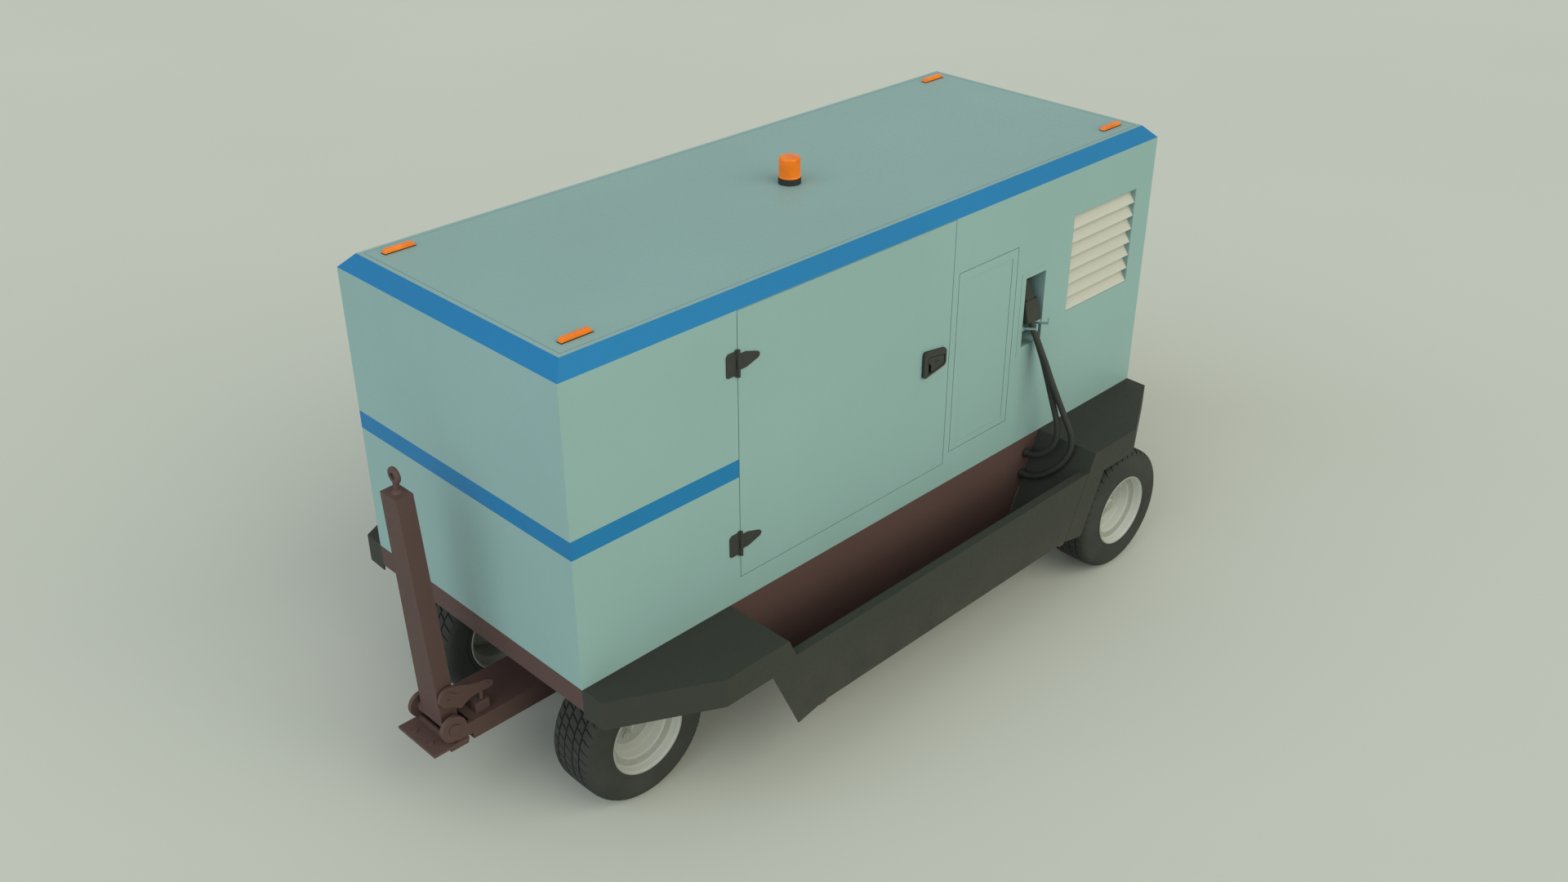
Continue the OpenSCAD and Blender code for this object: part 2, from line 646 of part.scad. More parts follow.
module exhaust_muffler() color(steel) place() {
    difference() {
        bar_x([1300, muffler_y, muffler_z], 95, 700);
        bar_x([1303, muffler_y, muffler_z], 92, 694);
    }
    bar_x([1240, muffler_y, muffler_z], 34, 60);
    translate([1240, muffler_y, muffler_z]) sphere(r = 34);
    // down pipe to the exhaust manifold, and the strap to the roof beam
    translate([1240, muffler_y, 675]) cylinder(r = 34, h = muffler_z - 675);
    translate([1240, muffler_y, 675]) sphere(r = 34);
    bar_y([1240, crank[1] + 260, 675], 34, muffler_y - crank[1] - 260);
    box([1664, muffler_y - 10, muffler_z + 80], [1694, muffler_y + 10, wall_h - post]);
    // tail pipe to the rear wall
    bar_x([2000, muffler_y, muffler_z], 34, 120);
    translate([2120, muffler_y, muffler_z]) sphere(r = 34);
    bar_y([2120, muffler_y, muffler_z], 34, 130);
    translate([2120, muffler_y + 130, muffler_z]) sphere(r = 34);
    bar_x([2120, muffler_y + 130, muffler_z], 34, cab_l - 2121);
}

module battery() color(black) place() {
    box([120, 945, 5], [420, 1145, 210]);
    for (x = [160, 360]) translate([x, 1045, 210]) cylinder(r = 12, h = 22);
}

module fuel_tank() color(dark) place() {
    box([belly_x[0] + 70, 90, -tray_depth + 6], [1690, cab_w - 90, -rail_h - 14]);
    translate([1500, cab_w - 150, -rail_h - 14]) cylinder(r = 30, h = 10);
}

// ---------------------------------------------------------------- axles and steering

rear_y = [mid_y - rear_track / 2, mid_y + rear_track / 2];
front_y = [mid_y - front_track / 2, mid_y + front_track / 2];
spindle_r = 22;
disc_in = -5;                     // rim disc's inner face, outwards from the tyre's middle

module rear_axle() color(brown) place() {
    half = rear_track / 2 + disc_in;
    bar_y([rear_axle_x, mid_y - half + 94, axle_z], 38, 2 * half - 188);
    bar_y([rear_axle_x, mid_y - half - 46, axle_z], spindle_r, 2 * half + 92);
    // spring seats, and the brake back plates
    for (y = [40, cab_w - 110]) box([rear_axle_x - 70, y, axle_z + 30], [rear_axle_x + 70, y + 70, axle_z + 52]);
}

// Leaf springs, bent into a shallow arc under the rails
spring_rise = 40;
module rear_springs() color(black) place() for (y = [42, cab_w - 108])
    translate([rear_axle_x, y + 66, axle_z + 52]) rotate([90, 0, 0]) {
        r = (330 * 330 + spring_rise * spring_rise) / (2 * spring_rise);
        for (leaf = [0 : 3]) translate([0, r + leaf * 8, 0]) linear_extrude(66) intersection() {
            difference() {
                circle(r = r, $fn = 128);
                circle(r = r - 7.6, $fn = 128);
            }
            translate([-330 + (3 - leaf) * 70, -r - 1]) square([660 - (3 - leaf) * 140, 120]);
        }
        // hangers up to the rail
        for (x = [-330, 300]) linear_extrude(66)
            polygon([[x, spring_rise + 24], [x + 30, spring_rise + 24],
                [x + 30, -axle_z - 52 - rail_h], [x, -axle_z - 52 - rail_h]]);
    }

ring_r = 250;
module turntable() color(brown) place() translate([front_axle_x, mid_y, 0]) {
    difference() {
        translate([0, 0, -rail_h - 26]) cylinder(r = ring_r, h = 26);
        translate([0, 0, -rail_h - 27]) cylinder(r = ring_r - 60, h = 28);
    }
    translate([-30, -ring_r + 40, -rail_h - 20]) cube([60, 2 * ring_r - 80, 20]);
    translate([0, 0, -rail_h - 90]) cylinder(r = 30, h = 80);
}

// Steering frame: lower ring, tower, axle beam and the front spindles
module steering_frame() color(brown) place() translate([front_axle_x, mid_y, 0]) {
    difference() {
        union() {
            translate([0, 0, -rail_h - 56]) cylinder(r = ring_r, h = 29.5);
            box([-120, -118, -rail_h - 140], [120, 118, -rail_h - 56]);
        }
        translate([0, 0, -rail_h - 91]) cylinder(r = 30 + run_fit, h = 80);
    }
    for (s = [-1, 1]) box([-90, s > 0 ? 88 : -118, drawbar_top], [90, s > 0 ? 118 : -88, -rail_h - 140]);
    half = front_track / 2 - tyre_w / 2 - 16;
    box([-40, -half, axle_z - 40], [40, half, axle_z + 40]);
    box([-40, -118, axle_z + 40], [90, 118, -rail_h - 140]);
    reach = front_track / 2 + disc_in;
    bar_y([0, -reach - 46, axle_z], spindle_r, 2 * reach + 92);
}

// ---------------------------------------------------------------- drawbar and tow bar

module drawbar() color(brown) place() {
    x0 = drawbar_x;
    // box tube back to the axle beam
    difference() {
        box([x0, mid_y - drawbar_w / 2, drawbar_top - drawbar_h], [front_axle_x - 40, mid_y + drawbar_w / 2, drawbar_top]);
        box([x0 - 1, mid_y - drawbar_w / 2 + 8, drawbar_top - drawbar_h + 8],
            [front_axle_x - 60, mid_y + drawbar_w / 2 - 8, drawbar_top - 8]);
    }
    // cheek plates that hold the pivot pin
    for (s = [-1, 1]) difference() {
        translate([0, s > 0 ? mid_y + cheek_y - cheek_t : mid_y - cheek_y, 0]) {
            bar_y([pivot_x, 0, -pivot_drop], 55, cheek_t);
            side_sheet([[pivot_x, foot_z + 8], [pivot_x + 20, foot_z], [x0, foot_z], [x0, -pivot_drop - 6],
                [x0 - 16, -pivot_drop - 6], [x0 - 26, -pivot_drop], [x0 - 32, -pivot_drop + 14],
                [pivot_x, -pivot_drop + 30]], 0, cheek_t);
        }
        bar_y([pivot_x, mid_y - 200, -pivot_drop], pivot_r, 400);
    }
    // cross plate between the cheeks
    box([pivot_x - 24, mid_y - cheek_y + cheek_t - 1, foot_z], [pivot_x - 14, mid_y + cheek_y - cheek_t + 1, -411]);
}

module foot_plate() color(brown) place() {
    difference() {
        box([-foot_front, mid_y - 122, foot_z - 12], [-160, mid_y + 122, foot_z]);
        for (y = [-53, 53]) translate([-287, mid_y + y, foot_z - 13]) cylinder(r = 7, h = 14);
    }
    // tongue that meets the end of the drawbar, and the lower plate
    box([-161, mid_y - 95, foot_z - 12], [drawbar_x, mid_y + 95, foot_z]);
    box([-240, mid_y - cheek_y, foot_z - 32], [-160, mid_y + cheek_y, foot_z - 11]);
    // bolts
    for (y = [-53, 53]) translate([-287, mid_y + y, foot_z]) {
        cylinder(r = 11, h = 6, $fn = 6);
        translate([0, 0, -18]) cylinder(r = 6.5, h = 20);
    }
}

module tow_pivot_pin() color(steel) place() {
    bar_y([pivot_x, mid_y - cheek_y - 8, -pivot_drop], pivot_r, 2 * cheek_y + 16);
    for (y = [mid_y - cheek_y - 8, mid_y + cheek_y]) bar_y([pivot_x, y, -pivot_drop], pivot_r + 8, 8);
    // spacers between the cheeks and the tow bar's barrel
    for (s = [-1, 1]) {
        y = s > 0 ? mid_y + bar_w0 / 2 + 1 : mid_y - cheek_y + cheek_t;
        difference() {
            bar_y([pivot_x, y, -pivot_drop], 26, cheek_y - cheek_t - bar_w0 / 2 - 1);
            bar_y([pivot_x, y - 1, -pivot_drop], pivot_r, 60);
        }
    }
}

// The tow bar, drawn along its own length from the pivot up, then leaned forward
module lean() {
    translate([pivot_x, mid_y, -pivot_drop]) rotate([0, -bar_lean, 0]) children();
}
bar_x0 = -22;
module tow_bar() color(brown) place() {
    wall = 6;
    difference() {
        union() {
            lean() intersection() {
                // side view
                box([bar_x0, -100, 2], [bar_x0 + bar_t, 100, bar_l]);
                // front view, tapered
                translate([-60, 0, 0]) rotate([90, 0, 90]) linear_extrude(200)
                    polygon([[-bar_w0 / 2, 0], [bar_w0 / 2, 0], [bar_w1 / 2, bar_l], [-bar_w1 / 2, bar_l]]);
            }
            bar_y([pivot_x, mid_y - bar_w0 / 2, -pivot_drop], 24, bar_w0);
            // pad that the brake crank is bolted to
            bar_y([crank_pin[0], mid_y - bar_w0 / 2, crank_pin[1]], 26, 12);
        }
        // hollow
        lean() intersection() {
            box([bar_x0 + wall, -100, 34], [bar_x0 + bar_t - wall, 100, bar_l - wall]);
            translate([-60, 0, 0]) rotate([90, 0, 90]) linear_extrude(200)
                polygon([[-bar_w0 / 2 + wall, 0], [bar_w0 / 2 - wall, 0], [bar_w1 / 2 - wall, bar_l],
                    [-bar_w1 / 2 + wall, bar_l]]);
        }
        bar_y([pivot_x, mid_y - 100, -pivot_drop], pivot_r + run_fit, 200);
    }
}

eye_z = bar_l + 68;
eye_hole_r = 14;
module tow_eye() color(brown) place() lean() translate([bar_x0 + bar_t / 2 + 4, 0, 0]) {
    translate([0, 0, bar_l]) cylinder(r1 = 22, r2 = 13, h = 12);
    translate([0, 0, bar_l]) cylinder(r = 11, h = 40);
    // ring, its section rounded outside and flat in the bore
    translate([0, 0, eye_z]) rotate([0, 90, 0]) rotate_extrude()
        polygon([[14, -9], [18, -10], [25, -10], [30, -8], [33, -4], [33, 4], [30, 8], [25, 10],
            [18, 10], [14, 9]]);
}

// Crank that presses the brake plunger while the tow bar stands up: it is bolted to the bar's side
module brake_crank() color(brown) place() {
    y0 = mid_y - bar_w0 / 2 - 20;
    bar_y([crank_pin[0], y0, crank_pin[1]], 45, 14);
    bar_y([crank_pin[0], y0 + 13, crank_pin[1]], 22, 7);
    side_sheet([[-200, -288], [-158, -317], [-138, -304], [-110, -291], [-62, -288], [-28, -291], [-12, -286],
        [-8, -272], [-18, -258], [-40, -247], [-76, -241], [-112, -231], [-150, -212], [-190, -199]], y0, 14);
    // raised stop rib and the two bolts
    translate([crank_pin[0] - 12, y0 - 5, crank_pin[1] + 22]) rotate([0, 38, 0]) cube([44, 6, 10]);
    bar_y([-40, y0 - 5, -265], 8, 6);
    bar_y([crank_pin[0] - 8, y0 - 4, crank_pin[1] - 14], 9, 5);
}

box_top = -330;
module brake_box() color(brown) place()
    difference() {
        box([-100, 556, drawbar_top], [-36, 640, box_top]);
        translate([plunger_x, plunger_y, drawbar_top + 8]) cylinder(r = 9 + run_fit, h = 60);
    }
module brake_plunger() color(steel) place()
    translate([plunger_x, plunger_y, drawbar_top + 10]) cylinder(r = 9, h = box_top - drawbar_top - 10 + 40.8);

// ---------------------------------------------------------------- wheels

// Wheels are drawn with the outer face towards -Y, around their middle
module wheel_at(x, y, far) {
    translate([x, y, axle_z]) rotate([0, 0, far ? 180 : 0]) rotate([90, 0, 0]) children();
}

half_w = tyre_w / 2;
module tyre() rotate_extrude($fn = 96) {
    tread_r = tyre_r;
    bead_r = rim_r - 8;
    difference() {
        polygon([[bead_r, -half_w + 13.6], [rim_r + 0.4, -half_w + 11.6], [rim_r + 3, -half_w + 3],
            [bead_r + 34, -half_w],
            [tread_r - 34, -half_w], [tread_r - 12, -half_w + 8], [tread_r - 3, -half_w + 30],
            [tread_r, -half_w + 62], [tread_r, half_w - 62], [tread_r - 3, half_w - 30],
            [tread_r - 12, half_w - 8], [tread_r - 34, half_w], [bead_r + 34, half_w],
            [rim_r + 3, half_w - 3], [rim_r + 0.4, half_w - 11.6], [bead_r, half_w - 13.6],
            [bead_r, half_w - 26],
            [bead_r + 14, half_w - 22], [tread_r - 30, half_w - 14], [tread_r - 22, 0],
            [tread_r - 30, -half_w + 14], [bead_r + 14, -half_w + 22], [bead_r, -half_w + 26]]);
        for (y = [-44, -15, 15, 44]) translate([tread_r - 7, y - 3]) square([9, 6]);
    }
}

nut_pcd_r = 56;
nuts = 5;
// Steel rim with its stepped dish, the hub that carries it, and the wheel nuts
module rim() {
    f = half_w - 1;
    seat = rim_r - 8.2;
    rotate_extrude($fn = 96)
        polygon([[seat, f - 12], [seat, f - 37], [143, f - 53], [143, -f + 53], [seat, -f + 37],
            [seat, -f + 12], [rim_r, -f + 10], [rim_r, -f + 3], [rim_r - 4, -f], [162, -f + 4],
            [159, -f + 36], [138, -f + 55], [138, f - 59], [133, f - 61], [128, f - 70],
            [101, f - 114], [93, disc_in], [24, disc_in], [24, disc_in + 8], [91, disc_in + 8],
            [97, f - 107], [124, f - 65], [127, f - 61], [131, f - 53], [137, f - 49],
            [158, f - 35], [162, f - 4], [rim_r - 4, f], [rim_r, f - 3], [rim_r, f - 10]]);
    difference() {
        union() {
            translate([0, 0, disc_in - 62]) cylinder(r = 70, h = 62 + 1);
            translate([0, 0, disc_in]) cylinder(r = 30, h = 56);
        }
        translate([0, 0, disc_in - 70]) cylinder(r = spindle_r + run_fit, h = 117);
    }
    for (i = [0 : nuts - 1]) rotate([0, 0, i * 360 / nuts + 18]) translate([nut_pcd_r, 0, disc_in + 7]) {
        cylinder(r = 11, h = 17, $fn = 6);
        cylinder(r = 6, h = 25, $fn = 24);
    }
}

module tyre_front_near() color(rubber) place() wheel_at(front_axle_x, front_y[0], false) tyre();
module rim_front_near() color(rim_grey) place() wheel_at(front_axle_x, front_y[0], false) rim();
module tyre_front_far() color(rubber) place() wheel_at(front_axle_x, front_y[1], true) tyre();
module rim_front_far() color(rim_grey) place() wheel_at(front_axle_x, front_y[1], true) rim();
module tyre_rear_near() color(rubber) place() wheel_at(rear_axle_x, rear_y[0], false) tyre();
module rim_rear_near() color(rim_grey) place() wheel_at(rear_axle_x, rear_y[0], false) rim();
module tyre_rear_far() color(rubber) place() wheel_at(rear_axle_x, rear_y[1], true) tyre();
module rim_rear_far() color(rim_grey) place() wheel_at(rear_axle_x, rear_y[1], true) rim();

chassis_frame();
floor_plate();
canopy_frame();
front_panel();
rear_panel();
near_panel();
far_panel();
roof_edge_trim();
roof_panel();
door_panel();
door_hinge_leaves();
door_hinge_straps();
latch_housing();
latch_paddle();
control_hatch();
control_box();
plug_pocket();
plug_prongs();
output_plug();
output_cable_a();
output_cable_b();
cable_glands();
louvre_frame();
louvre_blades();
outlet_grille();
beacon_base();
beacon_lens();
marker_bases();
marker_lenses();
fenders_near();
fenders_far();
tray_near();
tray_far();
engine();
alternator();
radiator();
cooling_fan();
exhaust_muffler();
battery();
fuel_tank();
rear_axle();
rear_springs();
turntable();
steering_frame();
drawbar();
foot_plate();
tow_pivot_pin();
tow_bar();
tow_eye();
brake_crank();
brake_box();
brake_plunger();
tyre_front_near();
rim_front_near();
tyre_front_far();
rim_front_far();
tyre_rear_near();
rim_rear_near();
tyre_rear_far();
rim_rear_far();
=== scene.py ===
"""Visual model of the towable diesel generator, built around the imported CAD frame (metres)."""
import json
import math

import bmesh
import bpy
from mathutils import Matrix, Vector

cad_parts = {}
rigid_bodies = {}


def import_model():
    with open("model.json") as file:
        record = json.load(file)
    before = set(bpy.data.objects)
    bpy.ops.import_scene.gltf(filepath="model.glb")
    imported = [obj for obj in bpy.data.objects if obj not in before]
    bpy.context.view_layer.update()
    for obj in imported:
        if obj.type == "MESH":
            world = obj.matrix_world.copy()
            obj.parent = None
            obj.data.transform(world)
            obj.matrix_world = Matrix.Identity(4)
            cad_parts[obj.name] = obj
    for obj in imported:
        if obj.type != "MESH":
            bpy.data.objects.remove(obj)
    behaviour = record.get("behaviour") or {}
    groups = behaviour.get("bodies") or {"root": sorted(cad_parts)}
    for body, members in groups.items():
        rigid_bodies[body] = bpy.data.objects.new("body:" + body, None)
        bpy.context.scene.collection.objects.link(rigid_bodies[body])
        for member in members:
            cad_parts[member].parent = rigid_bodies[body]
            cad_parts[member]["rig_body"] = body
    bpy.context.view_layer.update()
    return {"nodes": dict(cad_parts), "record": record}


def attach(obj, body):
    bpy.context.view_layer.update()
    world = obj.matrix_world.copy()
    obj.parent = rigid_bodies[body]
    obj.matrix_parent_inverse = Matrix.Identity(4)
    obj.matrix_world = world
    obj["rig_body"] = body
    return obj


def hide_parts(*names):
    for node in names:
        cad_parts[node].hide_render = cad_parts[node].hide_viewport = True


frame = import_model()
NODES = frame["nodes"]
SLOT = {s["node"]: s["material_slot"] for s in frame["record"]["subparts"]}
scene = bpy.context.scene

# The cabinet floor's front near corner in the row frame, in millimetres; dimensions below are from it.
CORNER = (-1528, -650, 760)


def at(x, y, z):
    """A point measured in millimetres from the cabinet floor's front near corner, in the row frame."""
    return Vector(((x + CORNER[0]) / 1000, (y + CORNER[1]) / 1000, (z + CORNER[2]) / 1000))


# ------------------------------------------------------------------ camera

CAMERA_AT = Vector((-4.0121, -4.1310, 4.1879))
AZIMUTH, ELEVATION, ROLL = map(math.radians, (44.935, 29.804, 0.051))
look = Vector((math.cos(ELEVATION) * math.cos(AZIMUTH), math.cos(ELEVATION) * math.sin(AZIMUTH),
               -math.sin(ELEVATION)))
camera = bpy.data.objects.new("camera", bpy.data.cameras.new("camera"))
scene.collection.objects.link(camera)
camera.data.lens = 35
camera.data.sensor_width = 36
camera.data.clip_end = 200
turn = look.to_track_quat("-Z", "Y").to_matrix().to_4x4() @ Matrix.Rotation(ROLL, 4, "Z")
camera.matrix_world = Matrix.Translation(CAMERA_AT) @ turn
scene.camera = camera

# ------------------------------------------------------------------ piece helpers

WELD = 2e-5          # metres within which a CAD mesh's points are joined
COPLANAR = 0.4       # degrees within which its triangles count as one flat face
BEVEL_ABOVE = 28     # degrees an edge must turn by to be rounded
SHELL_SHARP = 40     # degrees above which a rounded shell keeps a sharp edge


def to_mesh(work, name, matrix=None):
    """Turns a bmesh into a mesh, moved by matrix, and frees it."""
    if matrix:
        bmesh.ops.transform(work, verts=work.verts, matrix=matrix)
    mesh = bpy.data.meshes.new(name)
    work.to_mesh(mesh)
    work.free()
    return mesh


def shade_smooth(mesh, sharp_above):
    """Shades a mesh smooth, except across edges that turn by more than sharp_above degrees."""
    mesh.polygons.foreach_set("use_smooth", [True] * len(mesh.polygons))
    mesh.set_sharp_from_angle(angle=math.radians(sharp_above))


def dress(piece, slot_name):
    piece.data.materials.clear()
    piece.data.materials.append(MATERIALS[slot_name])


def link(piece, slot_name, body, node):
    """Puts a piece in the scene with its material, riding on a body and standing for a CAD node."""
    scene.collection.objects.link(piece)
    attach(piece, body)
    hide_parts(node)
    dress(piece, slot_name)
    return piece


def mesh_piece(name, mesh, node, sharp_above=None):
    """A new piece from a mesh, with the slot and the body of the CAD node that it stands for."""
    if sharp_above:
        shade_smooth(mesh, sharp_above)
    return link(bpy.data.objects.new(name, mesh), SLOT[node], NODES[node]["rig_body"], node)


def apply_modifiers(piece):
    bpy.context.view_layer.update()
    graph = bpy.context.evaluated_depsgraph_get()
    mesh = bpy.data.meshes.new_from_object(piece.evaluated_get(graph))
    piece.modifiers.clear()
    piece.data = mesh


def rounded(node, width):
    """A copy of a CAD node with its sharp edges rounded by width (millimetres)."""
    work = bmesh.new()
    work.from_mesh(NODES[node].data)
    bmesh.ops.remove_doubles(work, verts=work.verts, dist=WELD)
    bmesh.ops.dissolve_limit(work, angle_limit=math.radians(COPLANAR), verts=work.verts, edges=work.edges)
    piece = mesh_piece(node + "_shell", to_mesh(work, node), node)
    bevel = piece.modifiers.new("edges", "BEVEL")
    bevel.width = width / 1000
    bevel.segments = 2
    bevel.limit_method = "ANGLE"
    bevel.angle_limit = math.radians(BEVEL_ABOVE)
    bevel.use_clamp_overlap = True
    bevel.miter_outer = "MITER_ARC"
    apply_modifiers(piece)
    shade_smooth(piece.data, SHELL_SHARP)
    flatten = piece.modifiers.new("flat faces stay flat", "WEIGHTED_NORMAL")
    flatten.keep_sharp = True
    flatten.weight = 100
    apply_modifiers(piece)
    return piece


# ------------------------------------------------------------------ materials


SPECULAR = 0.25      # half the usual reflection, for weathered surfaces


class Shader:
    """A small wrapper that builds one node-based material."""

    def __init__(self, name):
        self.material = bpy.data.materials.new(name)
        self.material.use_nodes = True
        self.tree = self.material.node_tree
        self.bsdf = self.tree.nodes["Principled BSDF"]
        self.coords = self.tree.nodes.new("ShaderNodeTexCoord").outputs["Object"]

    def plug(self, value, socket):
        """Links a socket's output, or sets a plain value."""
        if hasattr(value, "links"):
            self.tree.links.new(value, socket)
        else:
            socket.default_value = value

    def noise(self, scale, detail=3, rough=0.5, stretch=None):
        """Noise in the piece's own space, stretched along an axis where stretch is below 1."""
        n = self.tree.nodes.new("ShaderNodeTexNoise")
        n.inputs["Scale"].default_value = scale
        n.inputs["Detail"].default_value = detail
        n.inputs["Roughness"].default_value = rough
        source = self.coords
        if stretch:
            m = self.tree.nodes.new("ShaderNodeMapping")
            m.inputs["Scale"].default_value = stretch
            self.plug(source, m.inputs["Vector"])
            source = m.outputs[0]
        self.plug(source, n.inputs["Vector"])
        return n.outputs[0]

    def ramp(self, value, low, high, out_low=0.0, out_high=1.0):
        """Maps low..high to out_low..out_high, and holds the ends."""
        n = self.tree.nodes.new("ShaderNodeMapRange")
        self.plug(value, n.inputs["Value"])
        for key, v in (("From Min", low), ("From Max", high), ("To Min", out_low), ("To Max", out_high)):
            self.plug(v, n.inputs[key])
        return n.outputs[0]

    def math(self, operation, a, b=0.0):
        n = self.tree.nodes.new("ShaderNodeMath")
        n.operation = operation
        self.plug(a, n.inputs[0])
        self.plug(b, n.inputs[1])
        return n.outputs[0]

    def mix(self, factor, a, b):
        """Colour a where factor is 0, colour b where it is 1."""
        n = self.tree.nodes.new("ShaderNodeMix")
        n.data_type = "RGBA"
        # the node has sockets for every data type: these are the factor, the two colours and the colour out
        self.plug(factor, n.inputs[0])
        self.plug(a, n.inputs[6])
        self.plug(b, n.inputs[7])
        return n.outputs[2]

    def axis(self, name, source=None):
        n = self.tree.nodes.new("ShaderNodeSeparateXYZ")
        self.plug(source or self.coords, n.inputs[0])
        return n.outputs[name]

    def normal(self):
        return self.tree.nodes.new("ShaderNodeNewGeometry").outputs["Normal"]

    def edges(self, radius):
        """1 along outer and inner edges, fading over radius (metres)."""
        bevel = self.tree.nodes.new("ShaderNodeBevel")
        bevel.samples = 4
        bevel.inputs["Radius"].default_value = radius
        dot = self.tree.nodes.new("ShaderNodeVectorMath")
        dot.operation = "DOT_PRODUCT"
        self.plug(bevel.outputs[0], dot.inputs[0])
        self.plug(self.normal(), dot.inputs[1])
        return self.ramp(self.math("SUBTRACT", 1.0, dot.outputs["Value"]), 0.0, 0.25)

    def bump(self, *layers):
        """Each layer is (height, strength, distance in metres)."""
        previous = None
        for height, strength, distance in layers:
            n = self.tree.nodes.new("ShaderNodeBump")
            n.inputs["Strength"].default_value = strength
            n.inputs["Distance"].default_value = distance
            self.plug(height, n.inputs["Height"])
            if previous:
                self.plug(previous, n.inputs["Normal"])
            previous = n.outputs[0]
        self.plug(previous, self.bsdf.inputs["Normal"])

    def done(self, color, roughness, metallic=0.0, **extra):
        """Finishes the material: extra names other shader inputs, with _ for a space."""
        self.plug(color, self.bsdf.inputs["Base Color"])
        self.plug(roughness, self.bsdf.inputs["Roughness"])
        self.bsdf.inputs["Metallic"].default_value = metallic
        self.bsdf.inputs["Specular IOR Level"].default_value = SPECULAR
        for key, value in extra.items():
            self.plug(value, self.bsdf.inputs[key.replace("_", " ")])
        return self.material


def rgb(r, g, b):
    """Linear colour from display values, 0 to 255."""
    return tuple(((c / 255 + 0.055) / 1.055) ** 2.4 if c > 10 else c / 3294.6 for c in (r, g, b)) + (1.0,)


def tint(color, k):
    """The colour made k times as bright."""
    return tuple(min(1.0, c * k) for c in color[:3]) + (1.0,)


DUST = rgb(128, 122, 104)
DUST_FADE = 0.35     # metres below its upper limit at which dust is at its thickest


def paint(name, color, roughness, spread, peel, dust=0.0, dust_top=0.4, wear_and_edge_highlight=0.0):
    """Sprayed enamel: slow tonal drift, faint runs, orange peel, edges lightened partly as rubbed paint and
    partly as a painted highlight, and dust below dust_top.
    """
    s = Shader(name)
    drift = s.ramp(s.noise(1.7, 4), 0.3, 0.7, 0.0, 1.0)
    fine = s.noise(55, 5, 0.6)
    runs = s.noise(9, 3, 0.55, (1.0, 1.0, 0.06))
    base = s.mix(drift, tint(color, 1 - spread), tint(color, 1 + spread))
    base = s.mix(s.ramp(fine, 0.35, 0.75, 0.0, 0.35), base, tint(color, 1 - 1.6 * spread))
    base = s.mix(s.ramp(runs, 0.55, 0.8, 0.0, 0.18), base, tint(color, 1 - 2.2 * spread))
    if dust:
        height = s.ramp(s.axis("Z"), dust_top, dust_top - DUST_FADE)
        mask = s.math("MULTIPLY", height, s.ramp(s.noise(7, 6, 0.65), 0.35, 0.75, 0.0, dust))
        base = s.mix(mask, base, DUST)
    if wear_and_edge_highlight:
        # edges lightened: partly rubbed paint, partly a painted highlight standing in for light caught on
        # rounded edges
        rub_and_edge_highlight = s.math("MULTIPLY", s.edges(0.004), s.ramp(s.noise(24, 5, 0.7), 0.42, 0.66, 0.15, wear_and_edge_highlight))
        base = s.mix(rub_and_edge_highlight, base, tint(color, 2.1))
    rough = s.ramp(fine, 0.3, 0.7, roughness - 0.05, roughness + 0.06)
    s.bump((s.noise(420, 2), peel, 0.0004), (s.noise(2.2, 2), 0.06, 0.004))
    return s.done(base, rough)


TEAL = rgb(134, 165, 162)
BLUE = rgb(22, 112, 162)
STRIPE_Z = (1.306, 1.382)          # lower and upper edge of the waist stripe round the front end
STRIPE_END_X = at(773, 0, 0).x     # where the stripe stops, at the door's front edge
BAND_FOOT_Z = at(0, 0, 1216).z     # lower edge of the sloping blue roof band
ROOF_FACING = 0.92                 # a face whose normal points up by more than this is flat roof
CABINET_DUST = rgb(120, 128, 116)


def cabinet_paint():
    """Teal enamel with the blue waist stripe and the blue roof band masked in by place."""
    s = Shader("cabinet_enamel")
    drift = s.ramp(s.noise(1.3, 3), 0.3, 0.7)
    fine = s.noise(60, 5, 0.6)
    runs = s.noise(8, 3, 0.55, (1.0, 1.0, 0.05))

    def coat(color, spread):
        base = s.mix(drift, tint(color, 1 - spread), tint(color, 1 + spread))
        base = s.mix(s.ramp(fine, 0.35, 0.75, 0.0, 0.3), base, tint(color, 1 - 1.5 * spread))
        return s.mix(s.ramp(runs, 0.55, 0.8, 0.0, 0.16), base, tint(color, 1 - 2 * spread))

    x, z = s.axis("X"), s.axis("Z")
    height = s.math("MULTIPLY", s.math("GREATER_THAN", z, STRIPE_Z[0]), s.math("LESS_THAN", z, STRIPE_Z[1]))
    stripe = s.math("MULTIPLY", height, s.math("LESS_THAN", x, STRIPE_END_X))
    sloping = s.math("LESS_THAN", s.axis("Z", s.normal()), ROOF_FACING)
    band = s.math("MULTIPLY", s.math("GREATER_THAN", z, BAND_FOOT_Z - 0.0005), sloping)
    base = s.mix(s.math("MAXIMUM", stripe, band), coat(TEAL, 0.03), coat(BLUE, 0.05))
    dust = s.math("MULTIPLY", s.ramp(z, 1.0, 0.76), s.ramp(s.noise(6, 6, 0.6), 0.35, 0.75, 0.0, 0.1))
    base = s.mix(dust, base, CABINET_DUST)
    s.bump((s.noise(420, 2), 0.05, 0.0004), (s.noise(1.8, 2), 0.08, 0.006))
    return s.done(base, s.ramp(fine, 0.3, 0.7, 0.42, 0.52))


def rubber(name, color, roughness, grain=260):
    """Matt black rubber, greyed in patches, with a fine grain."""
    s = Shader(name)
    fine = s.noise(grain, 3, 0.6)
    base = s.mix(s.ramp(s.noise(5, 5, 0.6), 0.35, 0.7), tint(color, 0.85), tint(color, 1.25))
    base = s.mix(s.ramp(fine, 0.5, 0.8, 0.0, 0.3), base, tint(color, 1.8))
    s.bump((fine, 0.12, 0.0005))
    return s.done(base, s.ramp(fine, 0.3, 0.7, roughness - 0.08, roughness + 0.08))


RUST = rgb(96, 74, 58)


